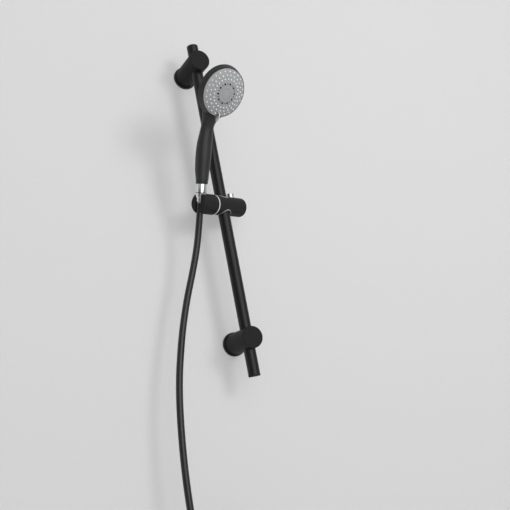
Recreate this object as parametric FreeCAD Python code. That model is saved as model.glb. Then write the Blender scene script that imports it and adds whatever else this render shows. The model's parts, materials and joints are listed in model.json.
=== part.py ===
import FreeCAD
import Part
import math
import os

# Shower slide rail with its slider, hand shower and hose. All sizes are in millimetres.
# The wall is the plane y = 0 and the rail stands in front of it, towards -Y. +Z is up.
# The origin is the middle of the lower bracket's wall face.

V = FreeCAD.Vector
X_AXIS = V(1, 0, 0)
Y_AXIS = V(0, 1, 0)
Z_AXIS = V(0, 0, 1)

# Fits
fit_clearance = 0.05
free_gap = 0.3
face_gap = 0.1

# Rail and its end caps
rail_diameter = 25.0
rail_wall = 1.5
rail_standoff = 70.0
rail_below = 78.0
rail_above = 45.0
bracket_spacing = 617.0
cap_lip = 4.0
cap_plug_length = 10.0
top_cap_edge = 2.0
bottom_cap_edge = 0.6

# Wall brackets and the plates that carry them
bracket_diameter = 46.0
bracket_front = 25.0
bracket_edge = 1.2
plate_diameter = 51.5
plate_thickness = 6.0
plate_edge = 1.0
spigot_diameter = 30.0
spigot_length = 16.0
wall_hole_diameter = 5.5
wall_head_diameter = 10.5
wall_head_depth = 4.0

# Set screws, each with a hexagon socket half as wide as the thread
socket_share = 0.5
socket_depth = 2.5
rail_screw_diameter = 6.0
rail_screw_length = 20.0
grub_diameter = 5.0
grub_length = 6.0

# Slider round the rail, lying level and turned out from the wall
slider_height = 289.0
slider_turn = 23.0
slider_diameter = 41.0
slider_reach = 56.8
slider_seat = 28.7
end_cap_thickness = 6.0
end_cap_edge = 2.5
end_cap_plug = 2.0
bush_diameter = 32.0
bush_lip = 0.8
bush_rim = 1.1
bush_land = 3.5
collar_diameter = 30.0
collar_height = 12.0
collar_slit = 2.0

# Brake shoe, its bow spring and the button that draws it back
shoe_diameter = 14.0
shoe_travel_share = 0.4
spring_bow = 3.2
spring_strip = 0.6
spring_width = 7.0
button_place = 31.5
button_diameter = 16.0
button_rise = 9.0
button_edge = 1.5
button_depth = 5.5
button_travel = 3.0
stem_width = 5.0
stem_tip_height = 1.0

# Holder that tilts on the slider's end
washer_thickness = 2.6
washer_edge = 0.6
holder_diameter = 43.0
holder_edge = 4.5
holder_inner_edge = 0.5
cup_distance = 67.0
cup_to_end = 7.3
cup_slot = 14.6
holder_tilt = 18.8
pivot_diameter = 10.0
pivot_thread_diameter = 8.0
pivot_thread_length = 8.0
pivot_head_diameter = 14.0
pivot_head_height = 5.0
pivot_floor = 19.0

# Cone nut that hangs in the holder, with what it draws together
nut_diameter = 21.9
nut_end_diameter = 17.2
nut_length = 40.2
nut_groove_width = 1.0
nut_groove_depth = 0.9
nut_edge = 0.8
nut_shoulder = 23.9
thread_diameter = 19.6
thread_reach = 55.0
nipple_bore = 9.0
nipple_flange = 2.1
washer_rubber = 2.0

# Hand shower: the grip's sections as rise above the handle's foot, forward shift, half width, half depth
handset_turn = -7.7
handle_foot = 40.7
grip_sections = [
    (0.0, 0.0, 12.6, 12.6),
    (19.3, 0.0, 14.3, 14.2),
    (41.3, 0.0, 16.0, 15.8),
    (59.3, 0.6, 16.5, 16.2),
    (79.3, 2.0, 16.5, 15.5),
]
# The neck's sections as drop below the face's middle, setback behind it, half width, half depth
neck_sections = [
    (81.6, 50.4, 14.9, 13.6),
    (64.6, 46.9, 14.0, 12.4),
    (51.6, 41.0, 17.6, 11.8),
    (37.6, 31.5, 26.5, 11.4),
    (23.6, 22.5, 33.0, 10.0),
]
water_bore = 12.0
water_bore_rise = 97.3
seam_rise = 69.3

# Hand shower head, square to its own spray axis
head_height = 223.6
head_forward = 55.5
head_tilt = 21.4
face_radius = 49.4
face_crown = 9.5
face_back = 3.0
rim_wall = 1.1
rim_edge = 0.6
head_flare = 5.5
head_waist = 11.8
head_waist_edge = 3.0
head_back = 27.0
head_back_rise = 2.5
head_back_inset = 10.5
head_back_edge = 14.0
recess_depth = 8.0
diverter_inset = 2.8
diverter_thickness = 4.4
port_radius = 5.0
port_circle = 26.0
port_count = 3
spindle_diameter = 8.0
spindle_head_diameter = 14.0
spindle_head_height = 2.0
spindle_depth = 6.0
centre_radius = 17.0
centre_floor = 4.0
centre_rise = 0.2
nozzle_inset = 5.3
nozzle_pitch = 7.5
nozzle_ring_count = 3
nozzle_turn = -0.4
nozzles_per_ring = 24
nozzle_base_radius = 1.35
nozzle_tip_radius = 0.9
nozzle_height = 1.4
jet_inset = 2.8
jet_count = 10
jet_radius = 1.9
mist_radius = 1.0
jet_depth = 2.0
tab_inset = 11.3
tab_reach = 4.7
tab_peak_inset = 3.0
tab_inner_width = 2.4
tab_outer_width = 7.0
tab_ridge_width = 2.2
tab_rise = 8.5
tab_tip_rise = 4.5
tab_underside = 0.6
tab_turn = -3.5

# Hose: the points of its free stretch, below the holder, then a tied coil
hose_diameter = 14.0
hose_straight = 44.0
hose_points = [
    (-78.5, -75.5, 198.8),
    (-95.5, -71.0, 150.2),
    (-114.9, -69.0, 102.2),
    (-131.7, -68.5, 54.6),
    (-146.4, -69.5, 7.4),
    (-164.3, -71.5, -62.1),
    (-175.3, -73.5, -130.7),
    (-182.5, -75.0, -198.4),
    (-186.8, -76.0, -264.8),
    (-187.9, -76.5, -340.0),
    (-188.0, -77.0, -414.0),
]
arc_share = 0.45
coil_radius = 77.0
coil_turns = 2
coil_corner = 6.5
tail_length = 50.0
tie_height = 10.0
tie_lift = 0.5
tie_thickness = 1.8
tie_gap = 1.1
tie_corner = 5.0
ferrule_length = 14.0
ferrule_diameter = 16.4
end_nut_flats = 24.0
end_nut_length = 15.0
end_nut_wall = 3.0
thread_relief = 0.6
end_nut_edge = 1.0
end_washer_thickness = 2.0

# Sizes that follow from the ones above
rail_radius = rail_diameter / 2
rail_bore = rail_radius - rail_wall
slider_radius = slider_diameter / 2
bush_radius = bush_diameter / 2
holder_radius = holder_diameter / 2
hose_radius = hose_diameter / 2
bracket_reach = rail_standoff + bracket_front
slider_body_end = slider_reach - end_cap_thickness
shoe_radius = shoe_diameter / 2
nut_radius = nut_diameter / 2
rim_radius = face_radius + free_gap + rim_wall
head_radius = face_radius + head_flare
head_back_flat = head_radius - head_back_inset
diverter_radius = face_radius - diverter_inset
nozzle_rings = [face_radius - nozzle_inset - i * nozzle_pitch for i in reversed(range(nozzle_ring_count))]
jet_circle = centre_radius + jet_inset
tab_inner = face_radius - tab_inset
tab_outer = face_radius + tab_reach
tab_peak = face_radius - tab_peak_inset
thread_radius = thread_diameter / 2

# Frames of the pieces that don't stand square to the wall
out_of_wall = FreeCAD.Placement(V(), FreeCAD.Rotation(X_AXIS, 90))
to_right = FreeCAD.Placement(V(), FreeCAD.Rotation(Y_AXIS, 90))
slider_frame = FreeCAD.Placement(V(0, -rail_standoff, slider_height), FreeCAD.Rotation(Z_AXIS, slider_turn))
holder_frame = slider_frame.multiply(
    FreeCAD.Placement(V(-cup_distance, 0, 0), FreeCAD.Rotation(X_AXIS, holder_tilt)))
handset_frame = holder_frame.multiply(FreeCAD.Placement(V(), FreeCAD.Rotation(Z_AXIS, handset_turn)))
head_frame = handset_frame.multiply(
    FreeCAD.Placement(V(0, -head_forward, head_height), FreeCAD.Rotation(X_AXIS, 90 + head_tilt)))


def moved(shape, frame):
    """A copy of the shape, placed by the frame."""
    copy = shape.copy()
    copy.Placement = frame.multiply(copy.Placement)
    return copy


def rod(radius, start, end, x=0.0, y=0.0):
    """A round bar along Z between two heights."""
    return Part.makeCylinder(radius, end - start, V(x, y, start))


def tube(outer, inner, start, end):
    """A round bar along Z with a bore right through."""
    return rod(outer, start, end).cut(rod(inner, start, end))


def cross_rod(radius, start, end):
    """A round bar along X between two places."""
    return moved(rod(radius, start, end), to_right)


def block(x0, x1, y0, y1, z0, z1):
    """A box between two corners."""
    return Part.makeBox(x1 - x0, y1 - y0, z1 - z0, V(x0, y0, z0))


def hexagon_bar(across_flats, start, end):
    """A six-sided bar along Z."""
    corner = across_flats / math.sqrt(3)
    angles = [math.radians(60 * i) for i in range(7)]
    wire = Part.makePolygon([V(corner * math.cos(a), corner * math.sin(a), start) for a in angles])
    return Part.Face(wire).extrude(V(0, 0, end - start))


def outline(corners):
    """A closed wire in the XZ plane. Each corner is (x, z) or (x, z, rounding radius)."""
    arrivals = []
    edges = []
    departures = []
    for i, corner in enumerate(corners):
        here = V(corner[0], 0, corner[1])
        if len(corner) < 3:
            arrivals.append(here)
            departures.append(here)
            continue
        back = V(corners[i - 1][0], 0, corners[i - 1][1]) - here
        ahead = V(corners[(i + 1) % len(corners)][0], 0, corners[(i + 1) % len(corners)][1]) - here
        back.normalize()
        ahead.normalize()
        half_angle = back.getAngle(ahead) / 2
        trim = corner[2] / math.tan(half_angle)
        bisector = back + ahead
        bisector.normalize()
        nearest = here + bisector * (corner[2] / math.sin(half_angle) - corner[2])
        arrivals.append(here + back * trim)
        departures.append(here + ahead * trim)
        edges.append(Part.Arc(arrivals[i], nearest, departures[i]).toShape())
    for i, start in enumerate(departures):
        end = arrivals[(i + 1) % len(arrivals)]
        if start.distanceToPoint(end) > 1e-6:
            edges.append(Part.LineSegment(start, end).toShape())
    return Part.Wire(Part.__sortEdges__(edges))


def turned(corners):
    """A solid turned about Z from an outline of (radius, height) corners."""
    return Part.Face(outline(corners)).revolve(V(), Z_AXIS, 360)


def slab(corners, half_width):
    """An outline in the XZ plane, made into a solid of the given half width each side."""
    face = Part.Face(outline(corners))
    face.translate(V(0, -half_width, 0))
    return face.extrude(V(0, 2 * half_width, 0))


def set_screw(diameter, length):
    """A headless screw along Z, its socket at the top."""
    socket = hexagon_bar(diameter * socket_share, length - socket_depth, length)
    return rod(diameter / 2, 0, length).cut(socket)


def bracket_frame(height):
    """The place of a bracket: Z runs out of the wall, Y runs up."""
    return FreeCAD.Placement(V(0, 0, height), FreeCAD.Rotation()).multiply(out_of_wall)


def rail_frame(height):
    """A place on the rail's axis."""
    return FreeCAD.Placement(V(0, -rail_standoff, height), FreeCAD.Rotation())


def rail_tube():
    length = rail_below + bracket_spacing + rail_above - 2 * cap_lip
    return moved(tube(rail_radius, rail_bore, 0, length), rail_frame(cap_lip - rail_below))


def rail_cap(edge):
    """A plug that fills the rail's bore, with a lip as wide as the rail."""
    plug_radius = rail_bore - fit_clearance
    corners = [(0, -cap_plug_length), (plug_radius, -cap_plug_length), (plug_radius, 0), (rail_radius, 0)]
    corners += [(rail_radius, cap_lip, edge), (0, cap_lip)]
    return turned(corners)


def rail_top_cap():
    return moved(rail_cap(top_cap_edge), rail_frame(bracket_spacing + rail_above - cap_lip))


def rail_bottom_cap():
    upside_down = FreeCAD.Placement(V(), FreeCAD.Rotation(X_AXIS, 180))
    return moved(moved(rail_cap(bottom_cap_edge), upside_down), rail_frame(cap_lip - rail_below))


def bracket():
    """A turned post, bored for the plate's spigot behind and for the rail across."""
    radius = bracket_diameter / 2
    bore_depth = plate_thickness + spigot_length + face_gap
    body = turned([(0, plate_thickness), (radius, plate_thickness), (radius, bracket_reach, bracket_edge),
                   (0, bracket_reach)])
    body = body.cut(rod(spigot_diameter / 2 + fit_clearance, plate_thickness, bore_depth))
    rail_hole = rod(rail_radius + fit_clearance, -radius, radius)
    across = FreeCAD.Placement(V(0, 0, rail_standoff), FreeCAD.Rotation(X_AXIS, 90))
    body = body.cut(moved(rail_hole, across))
    body = body.cut(rod(rail_screw_diameter / 2 + fit_clearance, bore_depth, rail_standoff))
    grub_hole = rod(grub_diameter / 2 + fit_clearance, 0, radius)
    return body.cut(moved(grub_hole, grub_place()))


def grub_place():
    """Half way along the spigot, pointing down."""
    height = plate_thickness + spigot_length / 2
    return FreeCAD.Placement(V(0, 0, height), FreeCAD.Rotation(X_AXIS, 90))


def wall_plate():
    """The round foot on the wall, with a spigot and a hole for one screw."""
    radius = plate_diameter / 2
    top = plate_thickness + spigot_length
    spigot = spigot_diameter / 2
    hole = wall_hole_diameter / 2
    head = wall_head_diameter / 2
    corners = [(hole, 0), (radius, 0), (radius, plate_thickness, plate_edge), (spigot, plate_thickness)]
    corners += [(spigot, top), (head, top), (head, top - wall_head_depth), (hole, top - wall_head_depth)]
    return turned(corners)


def at_both_brackets(shape):
    """One copy of a bracket's piece at each bracket."""
    return Part.makeCompound([moved(shape, bracket_frame(height)) for height in (0, bracket_spacing)])


def bracket_grub_screws():
    screw = set_screw(grub_diameter, grub_length)
    screw.translate(V(0, 0, spigot_diameter / 2 + fit_clearance))
    return at_both_brackets(moved(screw, grub_place()))


def rail_set_screws():
    screw = set_screw(rail_screw_diameter, rail_screw_length)
    tip = rail_standoff - rail_radius - fit_clearance
    return at_both_brackets(moved(screw, FreeCAD.Placement(V(0, 0, tip), FreeCAD.Rotation(X_AXIS, 180))))


def brake_collar():
    """A split ring round the rail, which the brake shoe bears on."""
    half = collar_height / 2
    ring = tube(collar_diameter / 2, rail_radius + fit_clearance, -half, half)
    slit = block(-collar_slit / 2, collar_slit / 2, 0, collar_diameter, -half, half)
    return moved(ring.cut(slit), slider_frame)


def guide_bush(side):
    """A sleeve that lines the slider's hole, its thin end following the slider's round outside."""
    near = max(collar_height / 2, shoe_radius) + free_gap
    sleeve = tube(bush_radius - fit_clearance, rail_radius + fit_clearance, near, slider_diameter)
    sleeve = sleeve.cut(rod(bush_radius - bush_rim, near + bush_land, slider_diameter))
    sleeve = sleeve.common(cross_rod(slider_radius + bush_lip, -bush_diameter, bush_diameter))
    if side < 0:
        sleeve = sleeve.mirror(V(), Z_AXIS)
    return moved(sleeve, slider_frame)


def slider_body():
    """A level bar, bored for the rail's bushes, the brake, the button and the pivot."""
    body = cross_rod(slider_radius, -slider_seat, slider_body_end)
    body = body.cut(rod(bush_radius, -slider_diameter, slider_diameter))
    body = body.cut(cross_rod(shoe_radius + fit_clearance, 0, slider_body_end))
    button_floor = slider_radius - button_depth
    body = body.cut(rod(button_diameter / 2 + fit_clearance, button_floor, slider_diameter, button_place))
    stem_hole = stem_width / math.sqrt(2) + free_gap
    body = body.cut(rod(stem_hole, 0, button_floor, button_place))
    thread_end = pivot_thread_length - slider_seat
    body = body.cut(cross_rod(pivot_thread_diameter / 2 + fit_clearance, -slider_seat, thread_end))
    return moved(body, slider_frame)


def slider_end_cap():
    plug = shoe_radius - fit_clearance
    plug_end = slider_body_end - end_cap_plug
    corners = [(0, plug_end), (plug, plug_end), (plug, slider_body_end), (slider_radius, slider_body_end)]
    corners += [(slider_radius, slider_reach, end_cap_edge), (0, slider_reach)]
    return moved(moved(turned(corners), to_right), slider_frame)


def stem_slant(height):
    """The place along the slider of the button stem's slanted side, at a height."""
    return button_place + stem_width / 2 - shoe_travel_share * (shoe_radius - height)


def lock_button():
    """A round push button with a flat stem that ends in a wedge."""
    bottom = slider_radius - button_depth + button_travel + free_gap
    top = slider_radius + button_rise
    radius = button_diameter / 2
    cap = turned([(0, bottom), (radius, bottom), (radius, top, button_edge), (0, top)])
    cap.translate(V(button_place, 0, 0))
    left = button_place - stem_width / 2
    stem = slab([(left, stem_tip_height), (stem_slant(stem_tip_height), stem_tip_height),
                 (stem_slant(shoe_radius), shoe_radius), (stem_slant(shoe_radius), bottom), (left, bottom)],
                stem_width / 2)
    return moved(cap.fuse(stem).removeSplitter(), slider_frame)


def shoe_end():
    """Where the shoe stops and its spring starts."""
    return slider_body_end - end_cap_plug - spring_bow - face_gap


def brake_shoe():
    """A piston beside the rail, with a slot whose far side matches the stem's wedge."""
    shoe = cross_rod(shoe_radius, collar_diameter / 2 + free_gap, shoe_end())
    draw = button_travel * shoe_travel_share
    floor = stem_tip_height - button_travel - free_gap
    left = button_place - stem_width / 2 - draw - 2 * free_gap
    slot = slab([(left, floor), (stem_slant(floor) + face_gap, floor),
                 (stem_slant(shoe_diameter) + face_gap, shoe_diameter), (left, shoe_diameter)],
                stem_width / 2 + free_gap)
    return moved(shoe.cut(slot), slider_frame)


def brake_spring():
    """A bowed strip between the shoe and the end cap."""
    foot = slider_body_end - end_cap_plug
    half = shoe_radius - 2 * spring_strip
    outer = Part.Arc(V(foot, 0, -half), V(foot - spring_bow, 0, 0), V(foot, 0, half)).toShape()
    inner_half = half - spring_strip
    crest = V(foot - spring_bow + spring_strip, 0, 0)
    inner = Part.Arc(V(foot, 0, -inner_half), crest, V(foot, 0, inner_half))
    ends = [Part.LineSegment(V(foot, 0, s * half), V(foot, 0, s * inner_half)).toShape() for s in (-1, 1)]
    face = Part.Face(Part.Wire(Part.__sortEdges__([outer, inner.toShape()] + ends)))
    face.translate(V(0, -spring_width / 2, 0))
    return moved(face.extrude(V(0, spring_width, 0)), slider_frame)


def pivot_screw():
    """A shoulder screw on the slider's line, which the holder turns on."""
    head_start = pivot_floor - face_gap - pivot_head_height - cup_distance
    head_end = pivot_floor - face_gap - cup_distance
    screw = cross_rod(pivot_head_diameter / 2, head_start, head_end)
    screw = screw.fuse(cross_rod(pivot_diameter / 2, head_end, -slider_seat))
    thread_end = pivot_thread_length - slider_seat
    screw = screw.fuse(cross_rod(pivot_thread_diameter / 2, -slider_seat, thread_end))
    socket = hexagon_bar(pivot_head_diameter * socket_share, head_start, head_start + socket_depth)
    return moved(screw.removeSplitter().cut(moved(socket, to_right)), slider_frame)


def pivot_washer():
    """The pale ring between slider and holder."""
    inner = pivot_diameter / 2 + fit_clearance
    radius = holder_radius
    corners = [(inner, 0), (radius, 0, washer_edge), (radius, washer_thickness, washer_edge)]
    corners += [(inner, washer_thickness)]
    place = FreeCAD.Placement(V(-slider_seat - washer_thickness, 0, 0), FreeCAD.Rotation()).multiply(to_right)
    return moved(moved(turned(corners), place), slider_frame)


def nut_profile_radius(height):
    """The radius of the cone nut's taper at a height above the tilt axis."""
    share = height / holder_radius
    return nut_end_diameter / 2 + (nut_radius - nut_end_diameter / 2) * share


def holder():
    """A round bar with a conical seat across it and a slot out through its free end."""
    inner_face = cup_distance - slider_seat - washer_thickness - face_gap
    corners = [(0, -cup_to_end), (holder_radius, -cup_to_end, holder_edge)]
    corners += [(holder_radius, inner_face, holder_inner_edge), (0, inner_face)]
    body = moved(turned(corners), to_right)
    clearance = 3 * fit_clearance
    low = nut_end_diameter / 2 + clearance
    high = nut_radius + clearance
    half = cup_slot / 2
    far = holder_diameter
    seat = [(0, -far), (half, -far), (half, -free_gap), (low, 0), (high, holder_radius), (high, far)]
    seat.append((0, far))
    body = body.cut(turned(seat))
    body = body.cut(block(-far, 0, -half, half, -far, far))
    body = body.cut(cross_rod(pivot_diameter / 2 + fit_clearance, 0, inner_face))
    body = body.cut(cross_rod(pivot_head_diameter / 2 + free_gap, 0, pivot_floor))
    return moved(body, holder_frame)


def hose_cone_nut():
    """A turned nut: a taper that fills the seat, a groove, then a straight grip."""
    bore = thread_radius + fit_clearance
    groove_radius = nut_radius - nut_groove_depth
    groove = holder_radius + nut_groove_width
    corners = [(hose_radius + fit_clearance, 0), (nut_profile_radius(0), 0), (nut_radius, holder_radius)]
    corners += [(nut_radius, groove), (groove_radius, groove), (groove_radius, groove + nut_groove_width)]
    corners += [(nut_radius, groove + nut_groove_width), (nut_radius, nut_length, nut_edge)]
    corners += [(bore, nut_length), (bore, nut_shoulder), (hose_radius + fit_clearance, nut_shoulder)]
    return moved(turned(corners), handset_frame)


def hose_nipple():
    """The hose's own end piece inside the cone nut, flanged where the nut pulls on it."""
    flange = thread_radius - fit_clearance
    corners = [(nipple_bore / 2, 0), (hose_radius, 0), (hose_radius, nut_shoulder), (flange, nut_shoulder)]
    corners += [(flange, nut_shoulder + nipple_flange), (nipple_bore / 2, nut_shoulder + nipple_flange)]
    return moved(turned(corners), handset_frame)


def nut_washer():
    start = nut_shoulder + nipple_flange
    washer = tube(thread_radius - fit_clearance, nipple_bore / 2, start, start + washer_rubber)
    return moved(washer, handset_frame)


def inlet_thread():
    """The threaded tail of the handle, up inside it and down into the cone nut."""
    start = nut_shoulder + nipple_flange + washer_rubber
    return moved(tube(thread_radius, water_bore / 2, start, thread_reach), handset_frame)


def oval(height, forward, half_width, half_depth):
    """One level section of the handle."""
    stretch = FreeCAD.Matrix()
    stretch.scale(V(half_width, half_depth, 1))
    section = Part.Wire(Part.Circle(V(), Z_AXIS, 1).toShape()).transformGeometry(stretch)
    section.translate(V(0, -forward, height))
    return Part.Wire(section.Edges)


def handle_stations():
    """The sections of grip and neck as height, forward shift, half width and half depth."""
    grip = [(handle_foot + rise, forward, wide, deep) for rise, forward, wide, deep in grip_sections]
    neck = [(head_height - drop, head_forward - back, wide, deep) for drop, back, wide, deep in neck_sections]
    return grip + neck


def handset_form():
    """Handle and head as one closed form, in the handset's frame."""
    handle = Part.makeLoft([oval(*station) for station in handle_stations()], True, False)
    corners = [(0, -head_back), (head_back_flat, head_back_rise - head_back, head_back_edge)]
    corners += [(head_radius, -head_waist, head_waist_edge), (rim_radius, 0, rim_edge)]
    corners += [(face_radius + free_gap, 0), (face_radius + free_gap, -recess_depth), (0, -recess_depth)]
    to_head = handset_frame.inverse().multiply(head_frame)
    form = handle.fuse(moved(turned(corners), to_head))
    form = form.cut(moved(rod(face_radius + free_gap, -recess_depth, head_back), to_head))
    form = form.cut(moved(rod(spindle_diameter / 2, -recess_depth - spindle_depth, -recess_depth), to_head))
    form = form.cut(rod(thread_radius + fit_clearance, handle_foot, thread_reach))
    return form.cut(rod(water_bore / 2, thread_reach, handle_foot + water_bore_rise))


def front_region():
    """Everything in front of the seam between the two shells, in the handset's frame."""
    slope = math.tan(math.radians(head_tilt))
    waist_forward = head_forward - head_waist * math.cos(math.radians(head_tilt))
    waist_height = head_height + head_waist * math.sin(math.radians(head_tilt))
    low = handle_foot - nut_length
    high = head_height + 2 * head_radius
    head_start = waist_height - head_radius
    seam = [(0, low), (0, handle_foot + seam_rise)]
    for height, forward, _, _ in handle_stations():
        if handle_foot + seam_rise < height < head_start:
            seam.append((forward, height))
    seam += [(waist_forward + (z - waist_height) * slope, z) for z in (head_start, high)]
    far = head_forward + 2 * head_radius
    corners = [V(0, -forward, height) for forward, height in seam]
    corners += [V(0, -far, high), V(0, -far, low)]
    face = Part.Face(Part.makePolygon(corners + corners[:1]))
    face.translate(V(-2 * head_radius, 0, 0))
    return face.extrude(V(4 * head_radius, 0, 0))


def handset_shells():
    """Front and back shell, parted along the seam."""
    form = handset_form()
    front = front_region()
    return moved(form.common(front), handset_frame), moved(form.cut(front), handset_frame)


def diverter_disc():
    """The fixed disc behind the spray face, with one port for each spray."""
    start = -recess_depth
    disc = tube(diverter_radius, spindle_diameter / 2 + fit_clearance, start, start + diverter_thickness)
    for i in range(port_count):
        angle = 2 * math.pi * i / port_count
        x = port_circle * math.cos(angle)
        y = port_circle * math.sin(angle)
        disc = disc.cut(rod(port_radius, start, start + diverter_thickness, x, y))
    return moved(disc, head_frame)


def spray_spindle():
    """The headed pin that the spray face turns on."""
    head = centre_floor - free_gap - spindle_head_height
    pin = rod(spindle_diameter / 2 - fit_clearance, -recess_depth - spindle_depth, head)
    pin = pin.fuse(rod(spindle_head_diameter / 2, head, head + spindle_head_height))
    return moved(pin.removeSplitter(), head_frame)


def crown_radius():
    """The radius of the ball that the spray face is part of."""
    return (face_radius ** 2 + face_crown ** 2) / (2 * face_crown)


def crown_height(radius):
    """The height of the spray face at a distance from its middle."""
    ball = crown_radius()
    return math.sqrt(ball ** 2 - radius ** 2) - ball + face_crown


def domed_disc(radius, bottom, lift):
    """A disc with the spray face's crown, raised by a lift."""
    half = radius / 2
    rim = V(radius, 0, crown_height(radius) + lift)
    crown = Part.Arc(rim, V(half, 0, crown_height(half) + lift), V(0, 0, face_crown + lift)).toShape()
    floor = V(radius, 0, bottom)
    sides = [(V(0, 0, face_crown + lift), V(0, 0, bottom)), (V(0, 0, bottom), floor), (floor, rim)]
    edges = [crown] + [Part.LineSegment(a, b).toShape() for a, b in sides]
    return Part.Face(Part.Wire(Part.__sortEdges__(edges))).revolve(V(), Z_AXIS, 360)


def around(count, radius, turn=0.0):
    """Places evenly round a circle, the first turned by a share of one step."""
    angles = [2 * math.pi * (i + turn) / count for i in range(count)]
    return [(radius * math.cos(a), radius * math.sin(a)) for a in angles]


def plain_face():
    """The spray face before its middle is recessed and its jets are drilled."""
    return domed_disc(face_radius, -face_back, 0)


def face_plate():
    """The spray face: a recess for the centre disc, a spindle hole and two sizes of jet."""
    head_seat = centre_floor - free_gap - spindle_head_height - face_gap
    plate = plain_face()
    plate = plate.cut(rod(centre_radius + face_gap, centre_floor, 2 * face_crown))
    plate = plate.cut(rod(spindle_head_diameter / 2 + free_gap, head_seat, 2 * face_crown))
    plate = plate.cut(rod(spindle_diameter / 2, -face_back, face_crown))
    floor = crown_height(jet_circle) - jet_depth
    for radius, turn in ((jet_radius, 0.0), (mist_radius, 0.5)):
        for x, y in around(jet_count, jet_circle, turn):
            plate = plate.cut(rod(radius, floor, 2 * face_crown, x, y))
    return moved(plate, head_frame)


def centre_disc():
    return moved(domed_disc(centre_radius, centre_floor, centre_rise), head_frame)


def nozzles():
    """Soft tips on three rings, each standing square to the crowned face."""
    tips = []
    ball = crown_radius()
    for i, ring in enumerate(nozzle_rings):
        for x, y in around(nozzles_per_ring, ring, nozzle_turn + i / nozzle_ring_count):
            tip = Part.makeCone(nozzle_base_radius, nozzle_tip_radius, nozzle_height)
            outward = V(x, y, crown_height(ring) + ball - face_crown)
            foot = V(x, y, crown_height(ring) + fit_clearance)
            tips.append(moved(tip, FreeCAD.Placement(foot, FreeCAD.Rotation(Z_AXIS, outward))))
    return moved(Part.makeCompound(tips), head_frame)


def fin_plan(inner_width, outer_width, height):
    """The selector fin's outline seen from the front, at a height."""
    corners = [V(-inner_width / 2, -tab_inner, height), V(inner_width / 2, -tab_inner, height)]
    corners += [V(outer_width / 2, -tab_outer, height), V(-outer_width / 2, -tab_outer, height)]
    return Part.makePolygon(corners + corners[:1])


def selector_tab():
    """The fin at the foot of the spray face, by which it is turned: a wedge with a bowed ridge."""
    foot = fin_plan(tab_inner_width, tab_outer_width, 0)
    ridge = fin_plan(tab_ridge_width, tab_ridge_width, tab_rise)
    fin = Part.makeLoft([foot, ridge], True, True)
    start = V(0, -tab_inner, crown_height(tab_inner) + tab_underside)
    tip = V(0, -tab_outer, tab_tip_rise)
    bow = Part.Arc(start, V(0, -tab_peak, tab_rise), tip).toShape()
    rest = [tip, V(0, -tab_outer, tab_underside), V(0, -face_radius, tab_underside), V(0, -face_radius, 0)]
    rest += [V(0, -tab_inner, 0), start]
    edges = [bow] + [Part.LineSegment(a, b).toShape() for a, b in zip(rest, rest[1:])]
    profile = Part.Face(Part.Wire(Part.__sortEdges__(edges)))
    profile.translate(V(-tab_outer_width, 0, 0))
    fin = fin.common(profile.extrude(V(2 * tab_outer_width, 0, 0)))
    turn = FreeCAD.Placement(V(), FreeCAD.Rotation(Z_AXIS, tab_turn))
    return moved(moved(fin.cut(plain_face()), turn), head_frame)


def hose_route():
    """The hose's corners: out of the nut in its own line, then the chosen points."""
    start = handset_frame.multVec(V())
    along = handset_frame.multVec(V(0, 0, -hose_straight))
    return [start, along] + [V(*point) for point in hose_points]


def hose_tube():
    """Straight runs joined by tangent arcs, as large as the shorter run allows."""
    corners = hose_route()
    edges = []
    here = corners[0]
    radii = []
    for before, corner, after in zip(corners, corners[1:], corners[2:]):
        back = before - corner
        ahead = after - corner
        trim = arc_share * min(back.Length, ahead.Length)
        back.normalize()
        ahead.normalize()
        half_turn = (math.pi - back.getAngle(ahead)) / 2
        radii.append(trim / math.tan(half_turn))
        first = corner + back * trim
        last = corner + ahead * trim
        bisector = back + ahead
        bisector.normalize()
        middle = corner + bisector * (radii[-1] / math.cos(half_turn) - radii[-1])
        edges.append(Part.LineSegment(here, first).toShape())
        edges.append(Part.Arc(first, middle, last).toShape())
        here = last
    edges.append(Part.LineSegment(here, corners[-1]).toShape())
    path = Part.Wire(edges)
    section = Part.Wire(Part.Circle(corners[0], corners[1] - corners[0], hose_radius).toShape())
    hose = path.makePipeShell([section], True, True)
    print("hose radii", [round(radius) for radius in radii])
    print("hose length", round(path.Length, 1), "volume", round(hose.Volume),
          "section times length", round(math.pi * hose_radius ** 2 * path.Length))
    return hose


def coil_frame():
    """The coil's middle, with Z towards the room and the hose coming down its left side."""
    end = V(*hose_points[-1])
    return FreeCAD.Placement(end + V(coil_radius, 0, 0), FreeCAD.Rotation(X_AXIS, 90))


def coil_depth():
    """How far the coil's turns reach from the plane of the first one."""
    return coil_turns * hose_diameter


def hose_coil():
    """The outer shape of the turns, cut back where the hose comes in and its end goes out."""
    inner = coil_radius - hose_radius
    outer = coil_radius + hose_radius
    front = coil_depth() + hose_radius
    ring = turned([(inner, -hose_radius, coil_corner), (outer, -hose_radius, coil_corner),
                   (outer, front, coil_corner), (inner, front, coil_corner)])
    ring = moved(ring, coil_frame())
    end = V(*hose_points[-1])
    way_in = Part.makeCylinder(hose_radius + free_gap, coil_radius, end)
    way_out = Part.makeCylinder(hose_radius + free_gap, coil_radius, end - V(0, coil_depth(), coil_radius))
    return ring.cut(way_in).cut(way_out)


def hose_tail():
    """The straight end of the hose, which hangs down out of the coil."""
    end = V(*hose_points[-1])
    return Part.makeCylinder(hose_radius, tail_length, end - V(0, coil_depth(), tail_length))


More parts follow.
